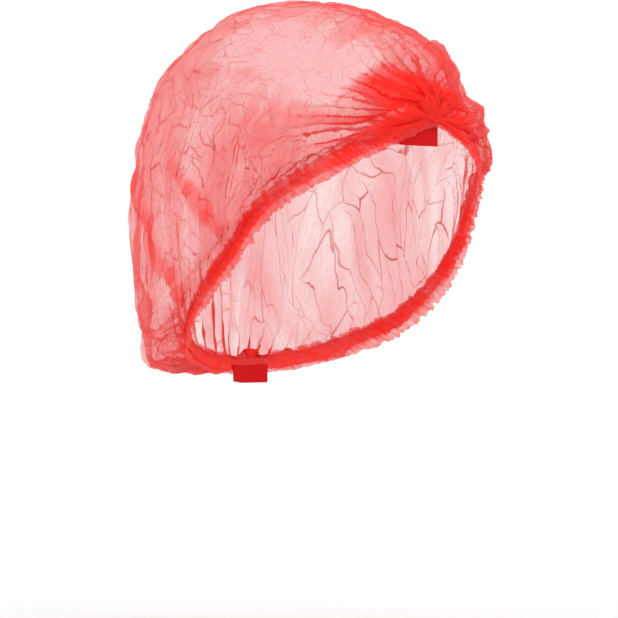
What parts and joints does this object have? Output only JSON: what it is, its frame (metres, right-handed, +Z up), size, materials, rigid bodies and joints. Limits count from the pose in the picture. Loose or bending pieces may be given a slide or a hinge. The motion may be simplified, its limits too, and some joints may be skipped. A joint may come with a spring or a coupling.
{
  "type": "pleated hairnet",
  "caption": "Disposable pleated hairnet of sheer cloth in its worn form, puffed over the head and gathered by elastic hems that meet in welded ends at forehead and nape.",
  "frame": {"origin": "inside of the crown where it lies on the top of the head", "axes": "+X to the wearer's left, +Y to the back of the head, +Z up; the wearer faces -Y"},
  "size_m": [0.1908, 0.2381, 0.2202],
  "materials": {
    "sheer_cloth": "matte sheer nonwoven",
    "gathered_cloth": "matte gathered nonwoven",
    "elastic": "matte",
    "welded_cloth": "pressed, slightly glossy"
  },
  "bodies": {
    "root": {"crown": "sheer_cloth", "hem_right": "gathered_cloth", "hem_left": "gathered_cloth", "elastic_right": "elastic", "elastic_left": "elastic", "front_weld": "welded_cloth", "rear_weld": "welded_cloth"}
  },
  "joints": []
}
